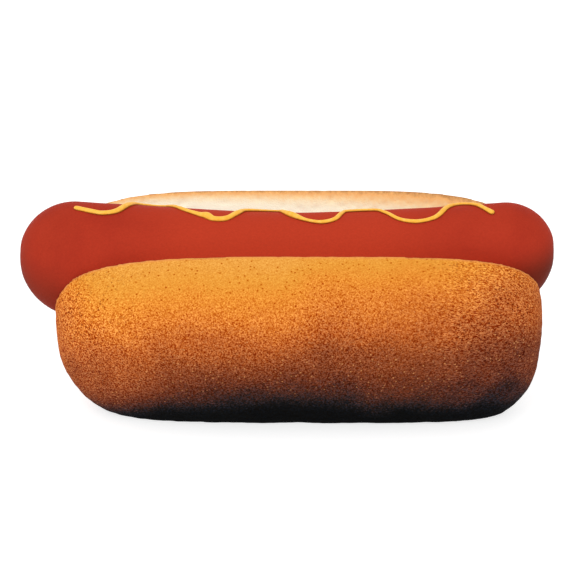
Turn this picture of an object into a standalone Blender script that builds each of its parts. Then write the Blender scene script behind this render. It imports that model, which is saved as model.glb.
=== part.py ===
"""A hot dog: a smoked sausage with a zigzag line of mustard, lying in a roll that is cut lengthwise.

Metres, +Z up. +X runs along the roll, -Y is the side that faces the eater, and the origin is in
the middle of the flat underside. The roll is one piece of bread: two halves that lean apart on a
hinge of uncut bread, with a groove pressed into them where the sausage lies.
"""
import math

import bmesh
import bpy
from mathutils import Matrix, Vector

MM = 0.001

# ---- The roll
ROLL_HALF_LENGTH = 74.3 * MM
ROLL_MIDDLE = 3.4 * MM         # the roll lies a little to the right under the sausage
CUT_DEPTH_LEFT = 17.0 * MM     # height of the bottom of the cut above the underside
CUT_HALF_WIDTH = 4.0 * MM      # of the bottom of the cut, on each side of the middle
LEAN = math.radians(26.0)      # of each half, away from the sausage
FATTEST_LEVEL = 12.7 * MM      # height of the fattest part, up the cut face from its bottom
REACH_BELOW = 42.5 * MM        # from the fattest part down to the underside, before it is flattened
SECTION_FULLNESS = 2.7         # 2 gives an ellipse, a higher value a squarer section
WAIST_POWER = 1.5              # how soon the waist of a foot eases off towards the ends

# A form of bread: how far it reaches up, down and out from its middle, how much of its width the
# foot loses halfway along, and how full its left and right ends are at the top, at the side and at
# the bottom (2 gives a round end, more a squarer one).
FRONT_HALF = dict(up=30.5 * MM, down=REACH_BELOW, out=27.4 * MM, half_length=ROLL_HALF_LENGTH,
                  waist=0.26, left_end=(3.4, 2.8, 2.5), right_end=(4.5, 3.8, 2.65))
BACK_HALF = dict(up=34.9 * MM, down=REACH_BELOW, out=26.4 * MM, half_length=ROLL_HALF_LENGTH,
                 waist=0.26, left_end=(4.3, 2.8, 2.5), right_end=(4.2, 3.8, 2.65))
UNCUT_BREAD = dict(up=16.0 * MM, down=17.0 * MM, out=19.0 * MM, half_length=69.0 * MM,
                   waist=0.0, left_end=(3.5, 3.5, 3.5), right_end=(3.5, 3.5, 3.5))
UNCUT_MIDDLE = 15.0 * MM       # height of the middle of the uncut bread
LOAF_RINGS = 38                # along a half
LOAF_SEGMENTS = 76             # round a whole loaf, half of them on each half
UNCUT_RINGS = 20
UNCUT_SEGMENTS = 32
FLOOR_DEPTH = 30.0 * MM        # of the block that flattens the underside

# ---- The sausage
LEFT_RADIUS = 17.8 * MM
MIDDLE_RADIUS = 16.1 * MM
RIGHT_RADIUS = 16.3 * MM
LEFT_CAP_X = -64.6 * MM        # where the round ends begin
RIGHT_CAP_X = 66.4 * MM
AXIS_HEIGHT = 44.3 * MM        # of its axis in the middle, which bends upwards to both ends
LEFT_RISE = 1.9 * MM
RIGHT_RISE = 3.1 * MM
BEND_POWER = 1.7
SEAT_GAP = 0.35 * MM           # left between the sausage and the bread
CAP_STEPS = 7
BODY_STEPS = 22
SAUSAGE_SIDES = 32

# ---- The mustard: the turning points of its line, as the place along the sausage in millimetres,
# the angle in degrees from the top of the sausage towards the eater, and the bead's thickness.
MUSTARD_ROUTE = [
    (-64.9, 9, 0.85), (-59.0, 14, 0.85), (-55.5, 15, 0.85), (-51.5, 9, 0.95), (-48.5, -9, 1.0),
    (-45.3, -27, 0.75), (-37.9, -29, 0.65), (-31.8, -4, 0.75), (-27.1, 7, 0.9), (-24.4, 10, 1.4),
    (-22.1, 15, 1.05), (-18.2, 13, 1.0), (-14.9, -1, 0.95), (-12.5, -14, 0.7), (-6.5, -20, 0.55),
    (-2.5, -23, 0.55), (-0.3, -8, 0.95), (2.0, 2, 1.2), (5.7, 12, 0.65), (10.5, 17, 0.65),
    (14.8, 12, 0.75), (17.0, -2, 0.7), (19.0, -10, 0.6), (27.0, -10, 0.6), (30.2, 1, 0.65),
    (34.0, 16, 0.68), (38.8, 22, 0.68), (43.4, 20, 0.7), (46.5, 13, 0.8), (50.0, -8, 0.85),
    (53.6, -18, 0.7), (57.7, -9, 0.75), (60.9, 8, 0.8), (63.3, 18, 0.95),
]
BEAD_RADIUS = 0.9 * MM
BEAD_LIFT = 0.3 * MM           # of the bead's centre above the skin of the sausage
BEAD_SPACING = 1.4 * MM        # between the rings of the bead
BEAD_END_TAPER = (0.45, 0.8)   # of the outermost rings, so that the line ends are rounded


def clear_scene():
    for old in list(bpy.data.objects):
        bpy.data.objects.remove(old, do_unlink=True)


def new_collection(name):
    collection = bpy.data.collections.new(name)
    bpy.context.scene.collection.children.link(collection)
    return collection


def new_object(name, mesh, collection):
    made = bpy.data.objects.new(name, mesh)
    collection.objects.link(made)
    return made


def mesh_from_bmesh(name, bm):
    bmesh.ops.recalc_face_normals(bm, faces=bm.faces)
    mesh = bpy.data.meshes.new(name)
    bm.to_mesh(mesh)
    bm.free()
    return mesh


def evaluated_mesh(source):
    graph = bpy.context.evaluated_depsgraph_get()
    return bpy.data.meshes.new_from_object(source.evaluated_get(graph))


def make_cutter(cutter):
    cutter.hide_render = True
    cutter.display_type = "WIRE"


def add_boolean(target, name, operation, other):
    modifier = target.modifiers.new(name, "BOOLEAN")
    modifier.operation = operation
    modifier.solver = "EXACT"
    modifier.object = other
    return modifier


def make_material(name, colour, roughness):
    material = bpy.data.materials.new(name)
    material.use_nodes = True
    shader = material.node_tree.nodes["Principled BSDF"]
    shader.inputs["Base Color"].default_value = (*colour, 1.0)
    shader.inputs["Roughness"].default_value = roughness
    shader.inputs["Metallic"].default_value = 0.0
    return material


# ---------------------------------------------------------------- the roll

def end_fullness(form, along, upward):
    """How square the end of a form is: its own value at the top, at the side and at the bottom."""
    top, side, bottom = form["left_end"] if along < 0 else form["right_end"]
    extreme = top if upward > 0 else bottom
    return side + (extreme - side) * upward ** 2


def bread_point(form, unit):
    """Carry a point of the unit sphere to the skin of a loaf whose ends are the sphere's poles.

    The point comes back as X along the loaf, Y out from its middle and Z up.
    """
    across = math.hypot(unit.x, unit.y)
    up, out = (unit.x / across, unit.y / across) if across > 1e-6 else (0.0, 0.0)
    fullness = end_fullness(form, unit.z, up)
    stretch = (abs(unit.z) ** fullness + across ** fullness) ** (-1.0 / fullness)
    size = across * stretch
    if across > 1e-6:
        corner = abs(up) ** SECTION_FULLNESS + abs(out) ** SECTION_FULLNESS
        size *= corner ** (-1.0 / SECTION_FULLNESS)
    reach = form["up"] if up > 0 else form["down"]
    along = unit.z * stretch
    waist = 1.0 - form["waist"] * max(-up, 0.0) * (1.0 - abs(along) ** WAIST_POWER)
    return Vector((form["half_length"] * along, size * out * form["out"] * waist, size * up * reach))


def half_loaf(name, form, side, collection):
    """Half a loaf: a whole one cut through the middle and leant out. Side is -1 in front, 1 behind."""
    bm = bmesh.new()
    bmesh.ops.create_uvsphere(bm, u_segments=LOAF_SEGMENTS, v_segments=LOAF_RINGS, radius=1.0)
    everything = bm.verts[:] + bm.edges[:] + bm.faces[:]
    cut = bmesh.ops.bisect_plane(bm, geom=everything, dist=1e-6, plane_co=(0, 0, 0),
                                 plane_no=(0, -1, 0), clear_outer=True)
    rim_edges = [item for item in cut["geom_cut"] if isinstance(item, bmesh.types.BMEdge)]
    bmesh.ops.contextual_create(bm, geom=rim_edges)
    for vert in bm.verts:
        vert.co = bread_point(form, vert.co) + Vector((0.0, 0.0, FATTEST_LEVEL))
        vert.co.y *= side
    half = new_object(name, mesh_from_bmesh(name, bm), collection)
    half.location = (ROLL_MIDDLE, side * CUT_HALF_WIDTH, CUT_DEPTH_LEFT)
    half.rotation_euler.x = -side * LEAN
    make_cutter(half)
    return half


def uncut_bread(name, collection):
    """The bread that the cut leaves in the middle, which joins the halves under the sausage."""
    bm = bmesh.new()
    bmesh.ops.create_uvsphere(bm, u_segments=UNCUT_SEGMENTS, v_segments=UNCUT_RINGS, radius=1.0)
    for vert in bm.verts:
        vert.co = bread_point(UNCUT_BREAD, vert.co) + Vector((ROLL_MIDDLE, 0.0, UNCUT_MIDDLE))
    return new_object(name, mesh_from_bmesh(name, bm), collection)


def floor_block(name, collection):
    """The block under the roll that leaves its underside flat at Z = 0."""
    bm = bmesh.new()
    size = (4 * ROLL_HALF_LENGTH, 2 * ROLL_HALF_LENGTH, FLOOR_DEPTH)
    place = Matrix.Translation((0.0, 0.0, -FLOOR_DEPTH / 2)) @ Matrix.Diagonal((*size, 1.0))
    bmesh.ops.create_cube(bm, size=1.0, matrix=place)
    block = new_object(name, mesh_from_bmesh(name, bm), collection)
    make_cutter(block)
    return block


def build_bun(parts, cutters, seat):
    bun = uncut_bread("bun", parts)
    add_boolean(bun, "front half", "UNION", half_loaf("front_half", FRONT_HALF, -1, cutters))
    add_boolean(bun, "back half", "UNION", half_loaf("back_half", BACK_HALF, 1, cutters))
    add_boolean(bun, "seat of the sausage", "DIFFERENCE", seat)
    add_boolean(bun, "flat underside", "DIFFERENCE", floor_block("under_the_roll", cutters))
    bun.data.materials.append(make_material("baked_crust", (0.76, 0.30, 0.055), 0.75))
    bun.data.shade_smooth()
    bun.data.set_sharp_from_angle(angle=math.radians(40))
    return bun


# ---------------------------------------------------------------- the sausage

def blend_to_end(x, at_middle, at_left, at_right):
    """A value that runs in a straight line from the sausage's middle to its round ends."""
    if x < 0:
        return at_middle + (at_left - at_middle) * min(x / LEFT_CAP_X, 1.0)
    return at_middle + (at_right - at_middle) * min(x / RIGHT_CAP_X, 1.0)


def axis_height(x):
    if x < 0:
        return AXIS_HEIGHT + LEFT_RISE * (x / LEFT_CAP_X) ** BEND_POWER
    return AXIS_HEIGHT + RIGHT_RISE * (x / RIGHT_CAP_X) ** BEND_POWER


def skin_radius(x):
    """Radius of the sausage at a place along it, its two round ends included."""
    radius = blend_to_end(x, MIDDLE_RADIUS, LEFT_RADIUS, RIGHT_RADIUS)
    past_cap = max(LEFT_CAP_X - x, x - RIGHT_CAP_X, 0.0)
    return math.sqrt(max(radius ** 2 - past_cap ** 2, 0.0))


def sausage_profile(gap):
    """Points (x, radius) from the left tip to the right tip, with a gap added to every radius."""
    points = []
    for step in range(CAP_STEPS):
        angle = math.pi / 2 * step / CAP_STEPS
        end = LEFT_RADIUS + gap
        points.append((LEFT_CAP_X - end * math.cos(angle), end * math.sin(angle)))
    for step in range(BODY_STEPS + 1):
        x = LEFT_CAP_X + (RIGHT_CAP_X - LEFT_CAP_X) * step / BODY_STEPS
        points.append((x, skin_radius(x) + gap))
    for step in range(CAP_STEPS - 1, -1, -1):
        angle = math.pi / 2 * step / CAP_STEPS
        end = RIGHT_RADIUS + gap
        points.append((RIGHT_CAP_X + end * math.cos(angle), end * math.sin(angle)))
    return points


def sausage_shape(name, gap, collection):
    """A turned casing: its profile spun round the X axis, then bent upwards to both ends."""
    bm = bmesh.new()
    verts = [bm.verts.new((x, 0.0, radius)) for x, radius in sausage_profile(gap)]
    for first, second in zip(verts, verts[1:]):
        bm.edges.new((first, second))
    profile = bpy.data.meshes.new(name + "_profile")
    bm.to_mesh(profile)
    bm.free()

    spun = new_object(name + "_profile", profile, collection)
    screw = spun.modifiers.new("turn", "SCREW")
    screw.axis = "X"
    screw.steps = SAUSAGE_SIDES
    screw.render_steps = SAUSAGE_SIDES
    screw.use_merge_vertices = True
    screw.merge_threshold = 0.00001
    turned = evaluated_mesh(spun)
    bpy.data.objects.remove(spun, do_unlink=True)

    bm = bmesh.new()
    bm.from_mesh(turned)
    bpy.data.meshes.remove(turned)
    for vert in bm.verts:
        vert.co.z += axis_height(vert.co.x)
    return new_object(name, mesh_from_bmesh(name, bm), collection)


# ---------------------------------------------------------------- the mustard

def skin_point(x, degrees, lift):
    """A point over the sausage's skin, at an angle from its top towards the eater."""
    angle = math.radians(degrees)
    radius = skin_radius(x) + lift
    return Vector((x, -radius * math.sin(angle), axis_height(x) + radius * math.cos(angle)))


def smooth_between(before, start, end, after, t):
    """The smooth curve through a row of values, between its two middle ones."""
    return 0.5 * (2 * start + (end - before) * t
                  + (2 * before - 5 * start + 4 * end - after) * t ** 2
                  + (3 * start - before - 3 * end + after) * t ** 3)


def mustard_line():
    """Points and thicknesses along the bead, at an even spacing."""
    row = [MUSTARD_ROUTE[0], *MUSTARD_ROUTE, MUSTARD_ROUTE[-1]]
    fine = []
    for stretch in zip(row, row[1:], row[2:], row[3:]):
        for step in range(24):
            x, degrees, thickness = (smooth_between(*values, step / 24) for values in zip(*stretch))
            fine.append((skin_point(x * MM, degrees, BEAD_LIFT), thickness))
    even = [fine[0]]
    for point, thickness in fine[1:]:
        if (point - even[-1][0]).length >= BEAD_SPACING:
            even.append((point, thickness))
    return even


def mustard_bead(name, collection):
    line = mustard_line()
    curve = bpy.data.curves.new(name, "CURVE")
    curve.dimensions = "3D"
    curve.bevel_depth = BEAD_RADIUS
    curve.bevel_resolution = 2
    curve.use_fill_caps = True
    spline = curve.splines.new("POLY")
    spline.points.add(len(line) - 1)
    for index, (point, thickness) in enumerate(line):
        from_end = min(index, len(line) - 1 - index)
        taper = BEAD_END_TAPER[from_end] if from_end < len(BEAD_END_TAPER) else 1.0
        spline.points[index].co = (*point, 1.0)
        spline.points[index].radius = thickness * taper

    drawn = new_object(name + "_line", curve, collection)
    mesh = evaluated_mesh(drawn)
    place = drawn.matrix_world.copy()
    bpy.data.objects.remove(drawn, do_unlink=True)
    bm = bmesh.new()
    bm.from_mesh(mesh)
    bpy.data.meshes.remove(mesh)
    bmesh.ops.remove_doubles(bm, verts=bm.verts, dist=0.00001)
    bead = new_object(name, mesh_from_bmesh(name, bm), collection)
    bead.matrix_world = place
    return bead


def build_sausage(parts, toppings):
    sausage = sausage_shape("sausage", 0.0, parts)
    mustard_bead("mustard", toppings)
    union = sausage.modifiers.new("fuse the mustard", "BOOLEAN")
    union.operation = "UNION"
    union.solver = "EXACT"
    union.operand_type = "COLLECTION"
    union.collection = toppings
    plain = sausage.data
    sausage.data = evaluated_mesh(sausage)
    sausage.data.name = "sausage"
    sausage.modifiers.clear()
    bpy.data.meshes.remove(plain)
    for topping in list(toppings.objects):
        bpy.data.objects.remove(topping, do_unlink=True)
    sausage.data.materials.clear()
    sausage.data.materials.append(make_material("smoked_sausage", (0.48, 0.042, 0.020), 0.5))
    sausage.data.shade_smooth()
    sausage.data.set_sharp_from_angle(angle=math.radians(40))
    return sausage


clear_scene()
hot_dog = new_collection("hot_dog")
cutting = new_collection("cutters")
mustard_parts = new_collection("toppings")
seat_cutter = sausage_shape("sausage_seat", SEAT_GAP, cutting)
make_cutter(seat_cutter)
build_bun(hot_dog, cutting, seat_cutter)
build_sausage(hot_dog, mustard_parts)
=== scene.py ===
"""A hot dog dressed for its picture: the roll, the sausage and the line of mustard.

Everything is in metres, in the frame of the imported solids: +X along the roll, -Y towards the eater.
"""
import math

import bmesh
import bpy
import numpy as np
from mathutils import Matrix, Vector, noise
from mathutils.bvhtree import BVHTree


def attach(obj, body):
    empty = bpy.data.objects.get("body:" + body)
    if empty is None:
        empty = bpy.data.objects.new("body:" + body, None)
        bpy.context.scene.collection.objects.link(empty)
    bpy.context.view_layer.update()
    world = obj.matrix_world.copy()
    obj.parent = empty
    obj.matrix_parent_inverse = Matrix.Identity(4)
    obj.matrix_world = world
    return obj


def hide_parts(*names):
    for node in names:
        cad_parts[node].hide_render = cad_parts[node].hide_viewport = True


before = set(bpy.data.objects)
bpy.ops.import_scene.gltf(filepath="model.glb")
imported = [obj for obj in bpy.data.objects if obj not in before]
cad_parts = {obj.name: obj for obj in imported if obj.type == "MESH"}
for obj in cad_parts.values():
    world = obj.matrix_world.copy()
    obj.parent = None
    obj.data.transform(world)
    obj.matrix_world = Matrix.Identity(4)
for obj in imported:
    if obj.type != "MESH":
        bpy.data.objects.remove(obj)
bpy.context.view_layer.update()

# ================================================================ the roll
# A soft roll of enriched white dough, baked until the crust is matt and golden. Underneath it goes
# black, partly browning where the underside caught and partly painted shade under the roll. It is
# cut lengthwise from above, so two halves lean apart on a hinge of uncut bread, and the cut faces
# show pale crumb that is lightly toasted along the rim.
MM = 0.001
LEAN = math.radians(26.0)      # of each cut face
CUT_FOOT = 17.0 * MM           # height of the foot of the cut faces
CUT_HALF_WIDTH = 4.0 * MM      # from the middle to that foot
WELD = 0.000001                # points of the solid that are closer than this are one
SKIN_GRID = 0.75 * MM          # spacing of the mesh of the bread
SOLID_SLACK = 0.05 * MM        # how far below the cut a face of the solid still counts as cut
SKIN_SLACK = 0.35 * MM         # and how far a point of the softened skin does
SEAT_REACH = 0.9 * MM          # bread that is closer than this to the sausage is its seat
RIM_REACH = 0.7 * MM           # bread that is closer than this to both faces is the rim
RIM_STEPS = 6                  # from face to face, until a point of the rim is on its line
JOINT_REACH = 9.0 * MM         # of the crease underneath, where the two halves join


def coordinates(mesh):
    flat = np.empty(len(mesh.vertices) * 3)
    mesh.vertices.foreach_get("co", flat)
    return flat.reshape(-1, 3)


def set_coordinates(mesh, points):
    mesh.vertices.foreach_set("co", points.astype(np.float32).ravel())
    mesh.update()


def normals(mesh):
    flat = np.empty(len(mesh.vertices) * 3, np.float32)
    mesh.vertex_normals.foreach_get("vector", flat)
    return flat.reshape(-1, 3).astype(float)


def store(mesh, name, values):
    """Keeps one number for each point, for the material to read."""
    layer = mesh.attributes.new(name, "FLOAT", "POINT")
    layer.data.foreach_set("value", np.asarray(values, np.float32))


def add_object(name, mesh):
    made = bpy.data.objects.new(name, mesh)
    bpy.context.scene.collection.objects.link(made)
    return made


def voxel_skin(name, source, spacing):
    """A closed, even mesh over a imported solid."""
    bm = bmesh.new()
    bm.from_mesh(source.data)
    bmesh.ops.remove_doubles(bm, verts=bm.verts, dist=WELD)
    mesh = bpy.data.meshes.new(name)
    bm.to_mesh(mesh)
    bm.free()
    made = add_object(name, mesh)
    skin = made.modifiers.new("skin", "REMESH")
    skin.mode = "VOXEL"
    skin.voxel_size = spacing
    graph = bpy.context.evaluated_depsgraph_get()
    made.data = bpy.data.meshes.new_from_object(made.evaluated_get(graph))
    made.data.name = name
    made.modifiers.clear()
    bpy.data.meshes.remove(mesh)
    return made


def relax(mesh, rounds, weight):
    """Pulls each point towards the middle of its neighbours, by a weight of its own."""
    points = coordinates(mesh)
    ends = np.empty(len(mesh.edges) * 2, np.int64)
    mesh.edges.foreach_get("vertices", ends)
    first, second = ends[0::2], ends[1::2]
    count = np.bincount(ends, minlength=len(points))[:, None]
    for _ in range(rounds):
        total = np.empty_like(points)
        for axis in range(3):
            total[:, axis] = (np.bincount(first, points[second, axis], len(points))
                              + np.bincount(second, points[first, axis], len(points)))
        points += weight[:, None] * (total / count - points)
    set_coordinates(mesh, points)


def faces_tree(mesh, wanted):
    return BVHTree.FromPolygons([v.co[:] for v in mesh.vertices],
                                [face.vertices[:] for face in mesh.polygons if wanted(face)])


def above_cut(point, side):
    """How far a point is above a cut face; side is -1 for the front half and 1 for the back one."""
    out = side * point.y - CUT_HALF_WIDTH
    return (point.z - CUT_FOOT) * math.sin(LEAN) - out * math.cos(LEAN)


def is_cut(point, slack):
    return above_cut(point, -1) > -slack and above_cut(point, 1) > -slack


roll_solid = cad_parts["bun"]
sausage_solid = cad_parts["sausage"]
sausage_tree = faces_tree(sausage_solid.data, lambda face: True)


def is_seat(point):
    return sausage_tree.find_nearest(point, SEAT_REACH)[0] is not None


def is_crumb_face(face):
    return is_cut(face.center, SOLID_SLACK) or is_seat(face.center)


crumb_tree = faces_tree(roll_solid.data, is_crumb_face)
crust_tree = faces_tree(roll_solid.data, lambda face: not is_crumb_face(face))

# soften the steps of the grid everywhere, and the creases where the halves join underneath
roll = voxel_skin("roll", roll_solid, SKIN_GRID)
start = coordinates(roll.data)
near_joint = (np.clip(1.0 - np.abs(start[:, 1]) / JOINT_REACH, 0, 1)
              * np.clip(1.6 - start[:, 2] / JOINT_REACH, 0, 1))
relax(roll.data, rounds=4, weight=np.full(len(start), 0.5))
relax(roll.data, rounds=40, weight=0.6 * np.clip(near_joint * 1.5, 0, 1))

# the grid leaves steps along the rim, so the points next to it are drawn onto the line where the
# crust and the crumb meet
points = coordinates(roll.data)
for index, place in enumerate(points):
    point = Vector(place)
    on_crust, on_crumb = crust_tree.find_nearest(point), crumb_tree.find_nearest(point)
    if max(on_crust[3], on_crumb[3]) < RIM_REACH and not is_seat(point):
        for _ in range(RIM_STEPS):
            point = crumb_tree.find_nearest(crust_tree.find_nearest(point)[0])[0]
        points[index] = point
set_coordinates(roll.data, points)
relax(roll.data, rounds=1, weight=np.full(len(points), 0.35))

# how far each point is from the rim, in millimetres: positive on the crumb, negative on the crust
points = coordinates(roll.data)
rim = np.empty(len(points))
seat = np.zeros(len(points))
for index, place in enumerate(points):
    point = Vector(place)
    seated = is_seat(point)
    seat[index] = seated
    if seated or is_cut(point, SKIN_SLACK):
        rim[index] = crust_tree.find_nearest(point)[3] / MM
    else:
        rim[index] = -crumb_tree.find_nearest(point)[3] / MM

# Relief in millimetres, each kind with its size and its rise. The crust has long swells, wrinkles
# along the roll, small blisters and a torn edge. The crumb has fainter swells and open bubbles.
LONG_SWELL, LONG_RISE = 30.0, 0.5
SHORT_SWELL, SHORT_RISE = 12.0, 0.22
WRINKLE_LENGTH, WRINKLE_WIDTH, WRINKLE_RISE = 3.4, 2.2, 0.11
BLISTER, BLISTER_RISE = 1.5, 0.05
TEAR, TEAR_RISE, TEAR_REACH = 1.1, 0.9, 0.7
BUBBLE, BUBBLE_WALL, BUBBLE_DEPTH = 2.6, 0.18, 0.9
CRUMB_SWELL = 0.4                    # of the swells of the crust
RIM_FADE, RIM_SHARE = 1.5, 0.25      # this close to the rim the relief sinks to this share of itself

height = np.zeros(len(points))
for index, place in enumerate(points / MM):
    point = Vector(place)
    swell = noise.noise(point / LONG_SWELL) * LONG_RISE + noise.noise(point / SHORT_SWELL) * SHORT_RISE
    if rim[index] < 0:
        squeezed = Vector((point.x / WRINKLE_LENGTH, point.y / WRINKLE_WIDTH, point.z / WRINKLE_WIDTH))
        wrinkle = noise.noise(squeezed) * WRINKLE_RISE
        blister = noise.noise(point / BLISTER) * BLISTER_RISE
        torn = noise.noise(point / TEAR + Vector((2, 5, 9))) * TEAR_RISE
        height[index] = swell + wrinkle + blister + torn * math.exp(-(rim[index] / TEAR_REACH) ** 2)
    elif not seat[index]:
        bubbles = noise.noise(point / BUBBLE + Vector((7, 3, 1)))
        height[index] = swell * CRUMB_SWELL - max(bubbles - BUBBLE_WALL, 0.0) * BUBBLE_DEPTH
edge_fade = np.clip(np.abs(rim) / RIM_FADE, RIM_SHARE, 1.0)
points += normals(roll.data) * (height * edge_fade * MM)[:, None]
points[:, 2] = np.maximum(points[:, 2], 0.0)      # the sole stays flat
set_coordinates(roll.data, points)
roll.data.shade_smooth()
store(roll.data, "rim_distance", rim)


def ease(start, end, value):
    """0 before the start, 1 past the end, and a smooth step between them."""
    t = np.clip((value - start) / (end - start), 0.0, 1.0)
    return t * t * (3.0 - 2.0 * t)


# How far each point is from the heat, in millimetres: less is darker, from black on the sole to gold
# on top. Part of it is browning, as the tray browned the sole and the oven's air the bulging sides,
# and part is painted shade under the roll. It is counted along a line that leans inward by 22
# degrees from straight up, which on the front half is the camera's own up.
SOLE_BROWNING_AND_SHADE = 9.1            # less 1.5 in the middle, by the rounding there
UP_SHARE, OUT_SHARE = 0.927, 0.375
MIDDLE_ROUNDING = 4.0          # of the step from one side to the other
x, y, z = (points / MM).T
browning_and_shade = SOLE_BROWNING_AND_SHADE + UP_SHARE * z - OUT_SHARE * np.sqrt(y ** 2 + MIDDLE_ROUNDING ** 2)

# The low left shoulder is the lightest and its tip darker, and the right half is darker, most of
# all at its end. This is partly uneven browning, as the right half lay near the oven's wall, and
# partly painted light and shade, lighter on the left and darker on the right as from a lamp on the
# left. Each line gives an amount, then where along the roll and where up the wall it sets in.
shoulder = 2.2 * ease(-2, -24, x) + 6.5 * ease(-32, -52, x)
low_left = shoulder * np.exp(-((browning_and_shade - 12.0) / 10.0) ** 2)
left_tip = 9.0 * ease(-54, -70, x) * ease(26, 44, browning_and_shade)
middle_right = (4.0 * ease(-4, 12, x) * ease(15, 26, browning_and_shade)
                + 1.8 * ease(-2, 10, x) * ease(33, 42, browning_and_shade))
right_tip = 11.0 * ease(38, 76, x) * ease(12, 46, browning_and_shade)

# uneven browning in between: broad and small clouds that fade on the black sole, and single patches
BROAD_CLOUD, BROAD_DEPTH = 22 * MM, 2.2
SMALL_CLOUD, SMALL_DEPTH = 8 * MM, 1.6
BLACK_SOLE = 12                # browning and painted shade up to which the clouds are fainter
clouds = np.array([noise.noise(Vector(place) / BROAD_CLOUD + Vector((3, 1, 8))) * BROAD_DEPTH
                   + noise.noise(Vector(place) / SMALL_CLOUD) * SMALL_DEPTH for place in points])
BAKE_PATCHES = [  # place along the roll, half width, place up the wall, half height, how much paler
    (42, 18, 8, 5, 2.5), (40, 9, 38, 9, -3.5), (-3, 7, 20, 6, -1.8), (20, 12, 27, 6, 1.7),
    (-27, 13, 32, 7, -2.0), (-68, 6, 33, 5, -2.0), (24, 26, 46, 6, -1.6), (70, 6, 37, 8, 4.0),
    (28, 5, 5, 3, 2.5), (-68, 5, 15, 5, -4.0), (68, 5, 15, 4, -3.0), (51, 6, 32, 4, -2.0),
    (-37, 5, 22, 4, -1.8), (-50, 6, 28, 4, 1.8), (35, 4, 5, 3, -2.5),
]
for along, half_width, up, half_height, paler in BAKE_PATCHES:
    browning_and_shade += paler * np.exp(-((x - along) / half_width) ** 2 - ((browning_and_shade - up) / half_height) ** 2)
browning_and_shade += low_left - left_tip - middle_right - right_tip + clouds * ease(0, BLACK_SOLE, browning_and_shade)
store(roll.data, "browning_and_shade", browning_and_shade)


def linear(code):
    """An sRGB hex colour as linear RGB with full alpha."""
    parts = [int(code[i:i + 2], 16) / 255 for i in (1, 3, 5)]
    return tuple(c / 12.92 if c <= 0.04045 else ((c + 0.055) / 1.055) ** 2.4 for c in parts) + (1.0,)


def add_node(tree, kind, inputs=None, stops=None, **settings):
    """Adds a node with its settings, its colour stops, and values or links for its inputs.

    A Mix node takes numbers at 2 and 3, and colours at 6 and 7 that it gives back at output 2.
    """
    made = tree.nodes.new(kind)
    for name, value in settings.items():
        setattr(made, name, value)
    if stops:
        ramp = made.color_ramp
        while len(ramp.elements) < len(stops):
            ramp.elements.new(1.0)
        for element, (position, colour) in zip(ramp.elements, stops):
            element.position = position
            element.color = colour if isinstance(colour, tuple) else linear(colour)
    for socket, value in (inputs or {}).items():
        if isinstance(value, bpy.types.NodeSocket):
            tree.links.new(value, made.inputs[socket])
        else:
            made.inputs[socket].default_value = value
    return made


def new_material(name):
    material = bpy.data.materials.new(name)
    material.use_nodes = True
    material.node_tree.nodes.clear()
    return material, material.node_tree


def place_in_mm(tree):
    """The place on the piece that is shaded, in millimetres."""
    place = add_node(tree, "ShaderNodeTexCoord").outputs["Object"]
    return add_node(tree, "ShaderNodeVectorMath", {0: place, "Scale": 1 / MM},
                    operation="SCALE").outputs[0]


# Baked crust and crumb of enriched white bread: no gloss at all, a fine cork-like grain, and a
# colour that goes from gold near the top to black underneath, partly browning and partly painted
# shade. The place is in millimetres, so the scale of a pattern is its number of grains in a
# millimetre.
BLACKEST, GOLDEN = 4.0, 54.0      # browning and painted shade where the crust is black, and where it is palest
SCORCH_DEPTH = 8.0             # by how much the browning differs from one blister to the next
END_CONTRAST = 0.65            # how much more the grain stands out at both ends
RIGHT_CONTRAST = 0.35          # and how much more again at the right one
CRUMB_DEPTH = 8.0              # from the rim to where the crumb is whitest
MOTTLE_DEPTH = 0.22            # of that depth
PORE_SINK = 0.8                # of the rise of the grain
CRUMB_PAINTED_GLOW = 0.16              # painted light: the crumb glows a little, lifting it where the sausage keeps light off
bread, tree = new_material("baked_white_bread")
mm = place_in_mm(tree)
spot = add_node(tree, "ShaderNodeSeparateXYZ", {0: mm})
along, across = spot.outputs["X"], spot.outputs["Y"]
from_middle = add_node(tree, "ShaderNodeMath", {0: along}, operation="ABSOLUTE").outputs[0]
at_ends = add_node(tree, "ShaderNodeMapRange", {
    "Value": from_middle, "From Min": 34.0, "From Max": 66.0},
    interpolation_type="SMOOTHSTEP").outputs[0]
to_right = add_node(tree, "ShaderNodeMapRange", {
    "Value": along, "From Min": 16.0, "From Max": 60.0},
    interpolation_type="SMOOTHSTEP").outputs[0]

# heat and shade: the browning and the painted shade underneath, scorched a little more on the
# blisters, which are 0.7 mm wide
baked_and_shaded = add_node(tree, "ShaderNodeAttribute", attribute_name="browning_and_shade").outputs["Fac"]
scorch = add_node(tree, "ShaderNodeTexNoise", {
    "Vector": mm, "Scale": 1.5, "Detail": 1.0}).outputs["Fac"]
scorched_and_shaded = add_node(tree, "ShaderNodeMath", {0: scorch, 1: SCORCH_DEPTH, 2: baked_and_shaded},
                    operation="MULTIPLY_ADD").outputs[0]
heat_and_shade = add_node(tree, "ShaderNodeMapRange", {
    "Value": scorched_and_shaded, "From Min": BLACKEST, "From Max": GOLDEN}).outputs[0]
crust_colour = add_node(tree, "ShaderNodeValToRGB", {0: heat_and_shade}, stops=[
    (0.10, "#060606"), (0.15, "#0D0D0E"), (0.19, "#231B1A"), (0.25, "#48261C"), (0.31, "#68311C"),
    (0.40, "#8A4321"), (0.52, "#B55D28"), (0.64, "#D4782F"), (0.76, "#DF8831"), (0.88, "#E19538"),
    (1.00, "#E49C44")]).outputs[0]

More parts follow.
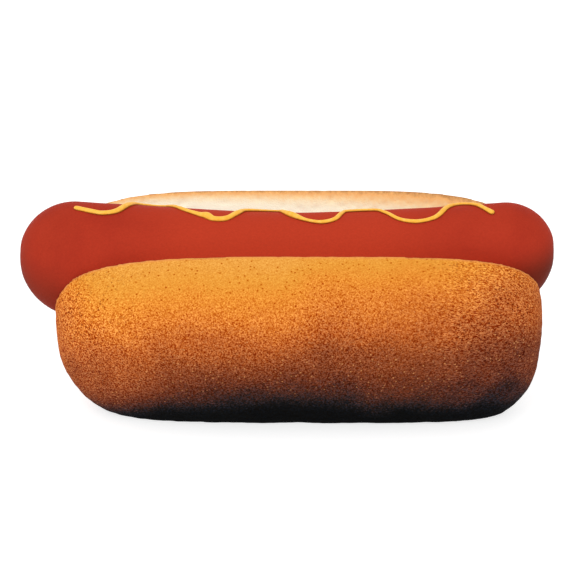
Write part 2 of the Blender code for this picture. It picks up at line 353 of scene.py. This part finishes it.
# grain: the cork-like skin. Its real grain is 0.2 mm wide, too fine to show, so it is drawn 0.5 mm
# wide. Towards the right end it runs together into short wrinkles along the roll.
cork = add_node(tree, "ShaderNodeTexNoise", {
    "Vector": mm, "Scale": 2.2, "Detail": 1.0, "Roughness": 0.7}).outputs["Fac"]
drawn_out = add_node(tree, "ShaderNodeVectorMath", {0: mm, 1: (0.6, 1.35, 1.35)},
                     operation="MULTIPLY").outputs[0]
wrinkles = add_node(tree, "ShaderNodeTexNoise", {
    "Vector": drawn_out, "Scale": 2.2, "Detail": 1.0, "Roughness": 0.7,
    "Distortion": 1.0}).outputs["Fac"]
grain = add_node(tree, "ShaderNodeMix", {0: to_right, 2: cork, 3: wrinkles},
                 data_type="FLOAT").outputs[0]

# the grain stands out more where the crust is dark, and at both ends
coarseness = add_node(tree, "ShaderNodeMapRange", {
    "Value": heat_and_shade, "From Min": 0.85, "From Max": 0.40, "To Min": 0.62, "To Max": 3.35}).outputs[0]
coarser = add_node(tree, "ShaderNodeMath", {0: at_ends, 1: END_CONTRAST, 2: 1.0},
                   operation="MULTIPLY_ADD").outputs[0]
coarser = add_node(tree, "ShaderNodeMath", {0: to_right, 1: RIGHT_CONTRAST, 2: coarser},
                   operation="MULTIPLY_ADD").outputs[0]
coarseness = add_node(tree, "ShaderNodeMath", {0: coarseness, 1: coarser},
                      operation="MULTIPLY").outputs[0]
centred = add_node(tree, "ShaderNodeMath", {0: grain, 1: 0.5}, operation="SUBTRACT").outputs[0]
tone = add_node(tree, "ShaderNodeMath", {0: centred, 1: coarseness, 2: 0.5},
                operation="MULTIPLY_ADD").outputs[0]

# pores: dark pin-pricks about 0.6 mm across and 1.7 mm apart
pores = add_node(tree, "ShaderNodeTexVoronoi", {"Vector": mm, "Scale": 0.6}).outputs["Distance"]
pore = add_node(tree, "ShaderNodeMapRange", {
    "Value": pores, "From Min": 0.10, "From Max": 0.24, "To Min": 0.34, "To Max": 0.0}).outputs[0]
tone = add_node(tree, "ShaderNodeMath", {0: tone, 1: pore}, operation="SUBTRACT").outputs[0]

# a dark grain of crust is redder and a light one yellower than the crust round them
tint = add_node(tree, "ShaderNodeValToRGB", {0: tone}, stops=[
    (0.0, (0.53, 0.18, 0.0, 1)), (0.25, (0.75, 0.51, 0.14, 1)), (0.5, (1.0, 1.0, 0.93, 1)),
    (0.75, (1.27, 1.55, 2.0, 1)), (1.0, (1.5, 2.15, 3.2, 1))]).outputs[0]
crust_colour = add_node(tree, "ShaderNodeVectorMath", {0: crust_colour, 1: tint},
                        operation="MULTIPLY").outputs[0]

# flecks: pale dry flakes of the skin, 0.5 mm across and 1.6 mm apart, which show where the crust
# is brown but not black
flakes = add_node(tree, "ShaderNodeTexVoronoi", {"Vector": mm, "Scale": 0.62}).outputs["Distance"]
brown = add_node(tree, "ShaderNodeMapRange", {
    "Value": heat_and_shade, "From Min": 0.7, "From Max": 0.45, "To Min": 0.0, "To Max": 0.65}).outputs[0]
not_black = add_node(tree, "ShaderNodeMapRange", {
    "Value": heat_and_shade, "From Min": 0.21, "From Max": 0.35}).outputs[0]
pale = add_node(tree, "ShaderNodeMath", {0: brown, 1: not_black}, operation="MULTIPLY").outputs[0]
fleck = add_node(tree, "ShaderNodeMapRange", {
    "Value": flakes, "From Min": 0.08, "From Max": 0.20, "To Min": pale, "To Max": 0.0}).outputs[0]
crust_colour = add_node(tree, "ShaderNodeMix", {0: fleck, 6: crust_colour, 7: linear("#D9985F")},
                        data_type="RGBA").outputs[2]

# specks: burnt crumbs from the oven's floor, 0.6 mm across, that stick in close clusters to both
# ends
crumbs = add_node(tree, "ShaderNodeTexVoronoi", {"Vector": mm, "Scale": 0.85}).outputs["Distance"]
clusters = add_node(tree, "ShaderNodeTexNoise", {
    "Vector": mm, "Scale": 0.14, "Detail": 2.0}).outputs["Fac"]
clustered = add_node(tree, "ShaderNodeMapRange", {
    "Value": clusters, "From Min": 0.42, "From Max": 0.62, "To Min": 0.35}).outputs[0]
clustered = add_node(tree, "ShaderNodeMath", {0: at_ends, 1: clustered},
                     operation="MULTIPLY").outputs[0]
speck = add_node(tree, "ShaderNodeMapRange", {
    "Value": crumbs, "From Min": 0.16, "From Max": 0.36, "To Min": clustered,
    "To Max": 0.0}).outputs[0]
crust_colour = add_node(tree, "ShaderNodeMix", {0: speck, 6: crust_colour, 7: linear("#A0682C")},
                        data_type="RGBA", blend_type="MULTIPLY").outputs[2]

# the lip of the crust along the cut: a lighter peach on the front half, a painted highlight where
# light catches the edge; toasted, drier and duller on the half at the back
from_rim = add_node(tree, "ShaderNodeAttribute", attribute_name="rim_distance").outputs["Fac"]
behind = add_node(tree, "ShaderNodeMath", {0: across, 1: 0.0}, operation="GREATER_THAN").outputs[0]
lip_colour = add_node(tree, "ShaderNodeMix", {0: behind, 6: linear("#E58F4E"), 7: linear("#A4794E")},
                      data_type="RGBA").outputs[2]
at_lip = add_node(tree, "ShaderNodeMapRange", {
    "Value": from_rim, "From Min": -0.9, "From Max": -0.3, "To Max": 0.6}).outputs[0]
crust_colour = add_node(tree, "ShaderNodeMix", {0: at_lip, 6: crust_colour, 7: lip_colour},
                        data_type="RGBA").outputs[2]

# crumb: brown where the knife met the crust, toasted for 3 mm, then cream. The toast reaches
# further in towards the right, and the left end has hardly any.
toast = add_node(tree, "ShaderNodeMapRange", {
    "Value": along, "From Min": -40.0, "From Max": 40.0, "To Min": 1.5, "To Max": 0.61}).outputs[0]
paler = add_node(tree, "ShaderNodeMapRange", {
    "Value": along, "From Min": -36.0, "From Max": -56.0, "To Max": 0.8}).outputs[0]
into_crumb = add_node(tree, "ShaderNodeMath", {0: from_rim, 1: toast, 2: paler},
                      operation="MULTIPLY_ADD").outputs[0]
into_crumb = add_node(tree, "ShaderNodeMath", {0: into_crumb, 1: CRUMB_DEPTH},
                      operation="DIVIDE").outputs[0]

# the toast is mottled, as the walls of the crumb's 1.4 mm bubbles catch the heat unevenly
mottle = add_node(tree, "ShaderNodeTexNoise", {
    "Vector": mm, "Scale": 0.7, "Detail": 2.0, "Roughness": 0.7}).outputs["Fac"]
mottle = add_node(tree, "ShaderNodeMath", {0: mottle, 1: 0.5}, operation="SUBTRACT").outputs[0]
into_crumb = add_node(tree, "ShaderNodeMath", {0: mottle, 1: MOTTLE_DEPTH, 2: into_crumb},
                      operation="MULTIPLY_ADD").outputs[0]
crumb_colour = add_node(tree, "ShaderNodeValToRGB", {0: into_crumb}, stops=[
    (0.00, "#BA854E"), (0.05, "#D8A366"), (0.12, "#F0B873"), (0.28, "#F5D49C"), (0.43, "#F6E8C1"),
    (0.65, "#F8F8DC"), (1.00, "#F9FDE8")]).outputs[0]
is_crumb = add_node(tree, "ShaderNodeMapRange", {
    "Value": from_rim, "From Min": -0.2, "From Max": 0.3}).outputs[0]
colour = add_node(tree, "ShaderNodeMix", {0: is_crumb, 6: crust_colour, 7: crumb_colour},
                  data_type="RGBA").outputs[2]
# the crumb glows a little: painted light, though it is no lamp
painted_glow = add_node(tree, "ShaderNodeMath", {0: is_crumb, 1: CRUMB_PAINTED_GLOW},
                operation="MULTIPLY").outputs[0]

# relief too fine for the mesh: the grain of the crust, and its pores sunk in
relief = add_node(tree, "ShaderNodeMath", {0: pore, 1: -PORE_SINK, 2: grain},
                  operation="MULTIPLY_ADD").outputs[0]
bump = add_node(tree, "ShaderNodeBump", {"Height": relief, "Strength": 0.6, "Distance": 0.00022})
rough = add_node(tree, "ShaderNodeMapRange", {
    "Value": cork, "From Min": 0.3, "From Max": 0.7, "To Min": 0.75, "To Max": 0.95}).outputs[0]
shader = add_node(tree, "ShaderNodeBsdfPrincipled", {
    "Base Color": colour, "Roughness": rough, "Specular IOR Level": 0.02,
    "Normal": bump.outputs[0], "Emission Color": crumb_colour, "Emission Strength": painted_glow})
add_node(tree, "ShaderNodeOutputMaterial", {"Surface": shader.outputs[0]})
roll.data.materials.clear()
roll.data.materials.append(bread)
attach(roll, "root")
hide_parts("bun")

# ================================================================ the sausage
# A smoked frankfurter, 165 mm long: fine beef and pork paste in a thin brick-red casing that was
# filled, tied off at both ends and hot-smoked, so the skin is matt and puckers a little at the tips.
LEFT_RADIUS, MIDDLE_RADIUS, RIGHT_RADIUS = 17.8 * MM, 16.1 * MM, 16.3 * MM
LEFT_CAP_X, RIGHT_CAP_X = -64.6 * MM, 66.4 * MM
LEFT_TIP_X, RIGHT_TIP_X = LEFT_CAP_X - LEFT_RADIUS, RIGHT_CAP_X + RIGHT_RADIUS
AXIS_HEIGHT, LEFT_RISE, RIGHT_RISE, BEND_POWER = 44.3 * MM, 1.9 * MM, 3.1 * MM, 1.7
CASING_SIDES = 144
CAP_RINGS, BODY_RINGS = 26, 150

# relief in millimetres, each kind with its size and its rise: the filling swells the casing a
# little, folds gather round each tip, and the knot pulls the tip itself in
LONG_LUMP, LONG_LUMP_RISE = 17.0, 0.16
SHORT_LUMP, SHORT_LUMP_RISE = 6.0, 0.05
FOLDS_FROM_TIP, FOLDS_REACH, FOLDS_RISE = 4.5, 3.2, 0.405
FOLDS_AROUND = 2.6             # folds in a radian
KNOT_REACH, KNOT_DEPTH = 2.6, 1.3
SMOOTH_TIP = 3.0               # radius under which the relief fades out, down to the tip


def axis_height(x):
    cap, rise = (LEFT_CAP_X, LEFT_RISE) if x < 0 else (RIGHT_CAP_X, RIGHT_RISE)
    return AXIS_HEIGHT + rise * (x / cap) ** BEND_POWER


def casing_radius(x):
    cap, end = (LEFT_CAP_X, LEFT_RADIUS) if x < 0 else (RIGHT_CAP_X, RIGHT_RADIUS)
    radius = MIDDLE_RADIUS + (end - MIDDLE_RADIUS) * min(x / cap, 1.0)
    past = max(abs(x) - abs(cap), 0.0)
    return math.sqrt(max(radius ** 2 - past ** 2, 0.0))


def casing_rings():
    """Places along the sausage, closer together round its two ends."""
    quarter = [math.pi / 2 * step / CAP_RINGS for step in range(1, CAP_RINGS)]
    yield from (LEFT_CAP_X - LEFT_RADIUS * math.cos(angle) for angle in quarter)
    for step in range(BODY_RINGS + 1):
        yield LEFT_CAP_X + (RIGHT_CAP_X - LEFT_CAP_X) * step / BODY_RINGS
    yield from (RIGHT_CAP_X + RIGHT_RADIUS * math.cos(angle) for angle in reversed(quarter))


def casing_point(x, angle):
    """A point of the skin at an angle from the top, with its slight swells and puckered tips."""
    radius = casing_radius(x)
    around = Vector((0.0, -math.sin(angle), math.cos(angle)))
    spot = Vector((x, 0, 0)) / MM + around * radius / MM
    lumps = (noise.noise(spot / LONG_LUMP) * LONG_LUMP_RISE
             + noise.noise(spot / SHORT_LUMP) * SHORT_LUMP_RISE)
    from_tip = math.hypot(abs((LEFT_TIP_X if x < 0 else RIGHT_TIP_X) - x), radius) / MM
    gathered = math.exp(-((from_tip - FOLDS_FROM_TIP) / FOLDS_REACH) ** 2)
    folds = noise.noise(around * FOLDS_AROUND + Vector((math.copysign(5, x), 0, 0))) * FOLDS_RISE
    inward = math.copysign(KNOT_DEPTH * math.exp(-(from_tip / KNOT_REACH) ** 2) * MM, -x)
    grown = radius + (lumps + folds * gathered) * MM * min(radius / (SMOOTH_TIP * MM), 1.0)
    return Vector((x + inward, 0, axis_height(x))) + around * grown


def angles_round(sides):
    return [2 * math.pi * k / sides for k in range(sides)]


def join_rings(bm, rings):
    """The wall of a tube through rings that have the same number of points."""
    for ring, following in zip(rings, rings[1:]):
        for k in range(len(ring)):
            other = (k + 1) % len(ring)
            bm.faces.new((ring[k], ring[other], following[other], following[k]))


def smooth_mesh(name, bm):
    """The mesh of what was built, with its faces turned outward."""
    bmesh.ops.recalc_face_normals(bm, faces=bm.faces)
    mesh = bpy.data.meshes.new(name)
    bm.to_mesh(mesh)
    bm.free()
    mesh.shade_smooth()
    return mesh


bm = bmesh.new()
rings = [[bm.verts.new(casing_point(x, angle)) for angle in angles_round(CASING_SIDES)]
         for x in casing_rings()]
join_rings(bm, rings)
for x, ring in ((LEFT_TIP_X, rings[0]), (RIGHT_TIP_X, rings[-1])):
    tip = bm.verts.new((x - math.copysign(KNOT_DEPTH * MM, x), 0.0, axis_height(x)))
    for k in range(CASING_SIDES):
        bm.faces.new((ring[k], ring[(k + 1) % CASING_SIDES], tip))
mesh = smooth_mesh("sausage_casing", bm)
casing = add_object("sausage_casing", mesh)

# The ends are darker, their undersides more than their tops: partly smoke, where the sausage
# hung, and partly painted shade on the undersides next to the roll. Places are in millimetres along
# the sausage, and in radii above its axis.
spots = coordinates(mesh)
x = spots[:, 0] / MM
axis = np.array([axis_height(along) for along in spots[:, 0]])
up = (spots[:, 2] - axis) / MIDDLE_RADIUS
left_end = ease(-57, -72, x) * (0.10 + 0.50 * ease(0.45, -0.6, up)) + 0.15 * ease(-76, -82, x)
right_end = ease(60, 77, x) * (0.04 + 0.74 * ease(0.52, -0.2, up)) + 0.04 * ease(74, 82, x)
store(mesh, "smoke_and_shade", left_end + right_end)
store(mesh, "pale_middle", ease(56, 24, np.abs(x)))

# Smoked collagen casing over beef: an even brick red with faint darker clouds from the smoke, 11 mm
# wide, and the pale flecks of fat that show through, 0.6 mm wide, in a dull satin skin.
smoked, tree = new_material("smoked_collagen_casing")
mm = place_in_mm(tree)
clouds = add_node(tree, "ShaderNodeTexNoise", {
    "Vector": mm, "Scale": 0.09, "Detail": 4.0, "Roughness": 0.55}).outputs["Fac"]
red = add_node(tree, "ShaderNodeValToRGB", {0: clouds}, stops=[
    (0.25, "#A43020"), (0.45, "#AA3321"), (0.60, "#AD3522"), (0.80, "#B03724")]).outputs[0]
pale_middle = add_node(tree, "ShaderNodeAttribute", attribute_name="pale_middle").outputs["Fac"]
red = add_node(tree, "ShaderNodeMix", {0: pale_middle, 6: red, 7: linear("#B73A24")},
               data_type="RGBA").outputs[2]
# darker ends: smoke, and painted shade on their undersides
smoke_and_shade = add_node(tree, "ShaderNodeAttribute", attribute_name="smoke_and_shade").outputs["Fac"]
red = add_node(tree, "ShaderNodeMix", {0: smoke_and_shade, 6: red, 7: linear("#4A2016")},
               data_type="RGBA").outputs[2]
fat = add_node(tree, "ShaderNodeTexNoise", {
    "Vector": mm, "Scale": 1.6, "Detail": 2.0}).outputs["Fac"]
light = add_node(tree, "ShaderNodeMapRange", {
    "Value": fat, "From Min": 0.3, "From Max": 0.7, "To Min": 0.95, "To Max": 1.05}).outputs[0]
red = add_node(tree, "ShaderNodeVectorMath", {0: red, "Scale": light}, operation="SCALE").outputs[0]
bump = add_node(tree, "ShaderNodeBump", {"Height": fat, "Strength": 0.15, "Distance": 0.0002})
rough = add_node(tree, "ShaderNodeMapRange", {
    "Value": clouds, "From Min": 0.3, "From Max": 0.7, "To Min": 0.42, "To Max": 0.6}).outputs[0]
shader = add_node(tree, "ShaderNodeBsdfPrincipled", {
    "Base Color": red, "Roughness": rough, "Specular IOR Level": 0.01, "Normal": bump.outputs[0]})
add_node(tree, "ShaderNodeOutputMaterial", {"Surface": shader.outputs[0]})
mesh.materials.append(smoked)
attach(casing, "root")
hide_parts("sausage")

# ================================================================ the mustard
# Plain yellow mustard squeezed from a bottle with a 2 mm nozzle in one wavering line. It lies as a
# low rounded bead on the casing, thicker where the hand slowed down.
MUSTARD_ROUTE = [  # place along the sausage in mm, degrees from its top towards the eater, thickness
    (-64.9, 9, 0.85), (-59.0, 14, 0.85), (-55.5, 15, 0.85), (-51.5, 9, 0.95), (-48.5, -9, 1.0),
    (-45.3, -27, 0.75), (-37.9, -29, 0.65), (-31.8, -4, 0.75), (-27.1, 7, 0.9), (-24.4, 10, 1.4),
    (-22.1, 15, 1.05), (-18.2, 13, 1.0), (-14.9, -1, 0.95), (-12.5, -14, 0.7), (-6.5, -20, 0.55),
    (-2.5, -23, 0.55), (-0.3, -8, 0.95), (2.0, 2, 1.2), (5.7, 12, 0.65), (10.5, 17, 0.65),
    (14.8, 12, 0.75), (17.0, -2, 0.7), (19.0, -10, 0.6), (27.0, -10, 0.6), (30.2, 1, 0.65),
    (34.0, 16, 0.68), (38.8, 22, 0.68), (43.4, 20, 0.7), (46.5, 13, 0.8), (50.0, -8, 0.85),
    (53.6, -18, 0.7), (57.7, -9, 0.75), (60.9, 8, 0.8), (63.3, 18, 0.95),
]
ROUTE_STEPS = 60               # tried between two of those places
BEAD_RADIUS = 0.9 * MM         # at a thickness of 1
BEAD_LIFT = 0.3 * MM           # of the middle of the bead above the casing
BEAD_STEP = 0.35 * MM          # least distance from ring to ring
BEAD_SIDES = 20
BEAD_WIDTH, BEAD_HEIGHT = 1.08, 0.95      # of a round section
BLUNT_END = 0.02               # keeps the last ring from running out to a point
SLOW_WOBBLE, SLOW_WOBBLE_RISE = 4 * MM, 0.10
FAST_WOBBLE, FAST_WOBBLE_RISE = 1.3 * MM, 0.05
FOOT_SHADE_TOP, FOOT_SHADE_BOTTOM = 0.60, 0.10        # mm above the casing, where the painted shade on its foot sets in


def on_casing(x, degrees, lift):
    angle = math.radians(degrees)
    radius = casing_radius(x) + lift
    return Vector((x, -radius * math.sin(angle), axis_height(x) + radius * math.cos(angle)))


def between(before, start, end, after, t):
    """The smooth curve through a row of values, between its two middle ones."""
    return 0.5 * (2 * start + (end - before) * t + (2 * before - 5 * start + 4 * end - after) * t ** 2
                  + (3 * start - before - 3 * end + after) * t ** 3)


row = [MUSTARD_ROUTE[0], *MUSTARD_ROUTE, MUSTARD_ROUTE[-1]]
line = []
for stretch in zip(row, row[1:], row[2:], row[3:]):
    for step in range(ROUTE_STEPS):
        x, degrees, thickness = (between(*values, step / ROUTE_STEPS) for values in zip(*stretch))
        spot = on_casing(x * MM, degrees, BEAD_LIFT)
        if not line or (spot - line[-1][0]).length >= BEAD_STEP:
            line.append((spot, degrees, thickness))

bm = bmesh.new()
rings = []
painted_foot_shade = []
for index, (spot, degrees, thickness) in enumerate(line):
    ahead = line[min(index + 1, len(line) - 1)][0] - line[max(index - 1, 0)][0]
    upward = Vector((0.0, -math.sin(math.radians(degrees)), math.cos(math.radians(degrees))))
    across = ahead.cross(upward).normalized()
    upward = across.cross(ahead).normalized()
    from_end = min(index, len(line) - 1 - index) * BEAD_STEP
    rounding = math.sqrt(max(1.0 - (1.0 - min(from_end / BEAD_RADIUS, 1.0)) ** 2, BLUNT_END))
    wobble = (1.0 + SLOW_WOBBLE_RISE * noise.noise(spot / SLOW_WOBBLE)
              + FAST_WOBBLE_RISE * noise.noise(spot / FAST_WOBBLE))
    radius = BEAD_RADIUS * thickness * rounding * wobble
    ring = []
    for angle in angles_round(BEAD_SIDES):
        out = across * math.cos(angle) * BEAD_WIDTH + upward * math.sin(angle) * BEAD_HEIGHT
        ring.append(bm.verts.new(spot + out * radius))
        # the lower rim of each ring, near the casing, takes painted shade
        painted_foot_shade.append(ease(FOOT_SHADE_TOP, FOOT_SHADE_BOTTOM, (BEAD_LIFT + math.sin(angle) * radius) / MM))
    rings.append(ring)
join_rings(bm, rings)
bm.faces.new(rings[0])
bm.faces.new(rings[-1])
mesh = smooth_mesh("mustard_line", bm)
store(mesh, "painted_foot_shade", painted_foot_shade)
mustard = add_object("mustard_line", mesh)

# Yellow mustard: a smooth emulsion coloured with turmeric, opaque with a soft wet sheen, faintly
# swirled over 1.3 mm, and darker brown at its foot: painted shade where the bead meets the skin.
yellow, tree = new_material("yellow_mustard_emulsion")
mm = place_in_mm(tree)
swirl = add_node(tree, "ShaderNodeTexNoise", {
    "Vector": mm, "Scale": 0.8, "Detail": 3.0}).outputs["Fac"]
gold = add_node(tree, "ShaderNodeValToRGB", {0: swirl}, stops=[
    (0.30, "#F5B02E"), (0.50, "#FDBC3E"), (0.70, "#FFC552")]).outputs[0]
foot_shade = add_node(tree, "ShaderNodeAttribute", attribute_name="painted_foot_shade").outputs["Fac"]
gold = add_node(tree, "ShaderNodeMix", {0: foot_shade, 6: gold, 7: linear("#8F4A10")},
                data_type="RGBA").outputs[2]
bump = add_node(tree, "ShaderNodeBump", {"Height": swirl, "Strength": 0.1, "Distance": 0.0002})
shader = add_node(tree, "ShaderNodeBsdfPrincipled", {
    "Base Color": gold, "Roughness": 0.4, "Specular IOR Level": 0.3, "Normal": bump.outputs[0]})
add_node(tree, "ShaderNodeOutputMaterial", {"Surface": shader.outputs[0]})
mesh.materials.append(yellow)
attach(mustard, "root")
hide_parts("sausage")

# ================================================================ the table, the light and the camera
# A light table: a sheet of white opal acrylic that glows a little, so that hardly any shadow is
# left on it, with a soft white studio all round and one large soft lamp above the eater's left
# shoulder. The camera looks down at the roll by 22 degrees.
TABLE_HALF_WIDTH = 3.0
TABLE_GAP = 0.05 * MM          # under the sole, so that the two don't share one plane
LAMP_TARGET = Vector((0, 0, 0.03))
SENSOR_WIDTH = 36.0
VIEW_DISTANCE, VIEW_WIDTH = 700.0, 178.0      # mm, from the camera to the roll and across it

bm = bmesh.new()
bmesh.ops.create_grid(bm, x_segments=1, y_segments=1, size=TABLE_HALF_WIDTH)
mesh = bpy.data.meshes.new("table_top")
bm.to_mesh(mesh)
bm.free()
table = add_object("table_top", mesh)
table.location.z = -TABLE_GAP
opal, tree = new_material("white_opal_acrylic")
shader = add_node(tree, "ShaderNodeBsdfPrincipled", {
    "Base Color": linear("#C2C2C2"), "Roughness": 0.6, "Specular IOR Level": 0.1,
    "Emission Color": linear("#FFFFFF"), "Emission Strength": 0.72})
add_node(tree, "ShaderNodeOutputMaterial", {"Surface": shader.outputs[0]})
mesh.materials.append(opal)

studio = bpy.data.worlds.new("white_studio")
studio.use_nodes = True
studio.node_tree.nodes["Background"].inputs["Color"].default_value = (1.0, 1.0, 1.0, 1.0)
studio.node_tree.nodes["Background"].inputs["Strength"].default_value = 0.88
bpy.context.scene.world = studio

lamp_data = bpy.data.lights.new("soft_lamp", "AREA")
lamp_data.shape = "DISK"
lamp_data.size = 1.2
lamp_data.energy = 5.0
lamp = add_object("soft_lamp", lamp_data)
lamp.location = (-0.4, -0.6, 1.1)
lamp.rotation_euler = (LAMP_TARGET - lamp.location).to_track_quat("-Z", "Y").to_euler()

camera_data = bpy.data.cameras.new("camera")
camera_data.sensor_width = SENSOR_WIDTH
camera_data.lens = SENSOR_WIDTH * VIEW_DISTANCE / VIEW_WIDTH
camera = add_object("camera", camera_data)
camera.location = (0.0, -0.64903, 0.29922)
camera.rotation_euler = (math.radians(68.0), 0.0, 0.0)
bpy.context.scene.camera = camera
bpy.context.scene.view_settings.view_transform = "Standard"
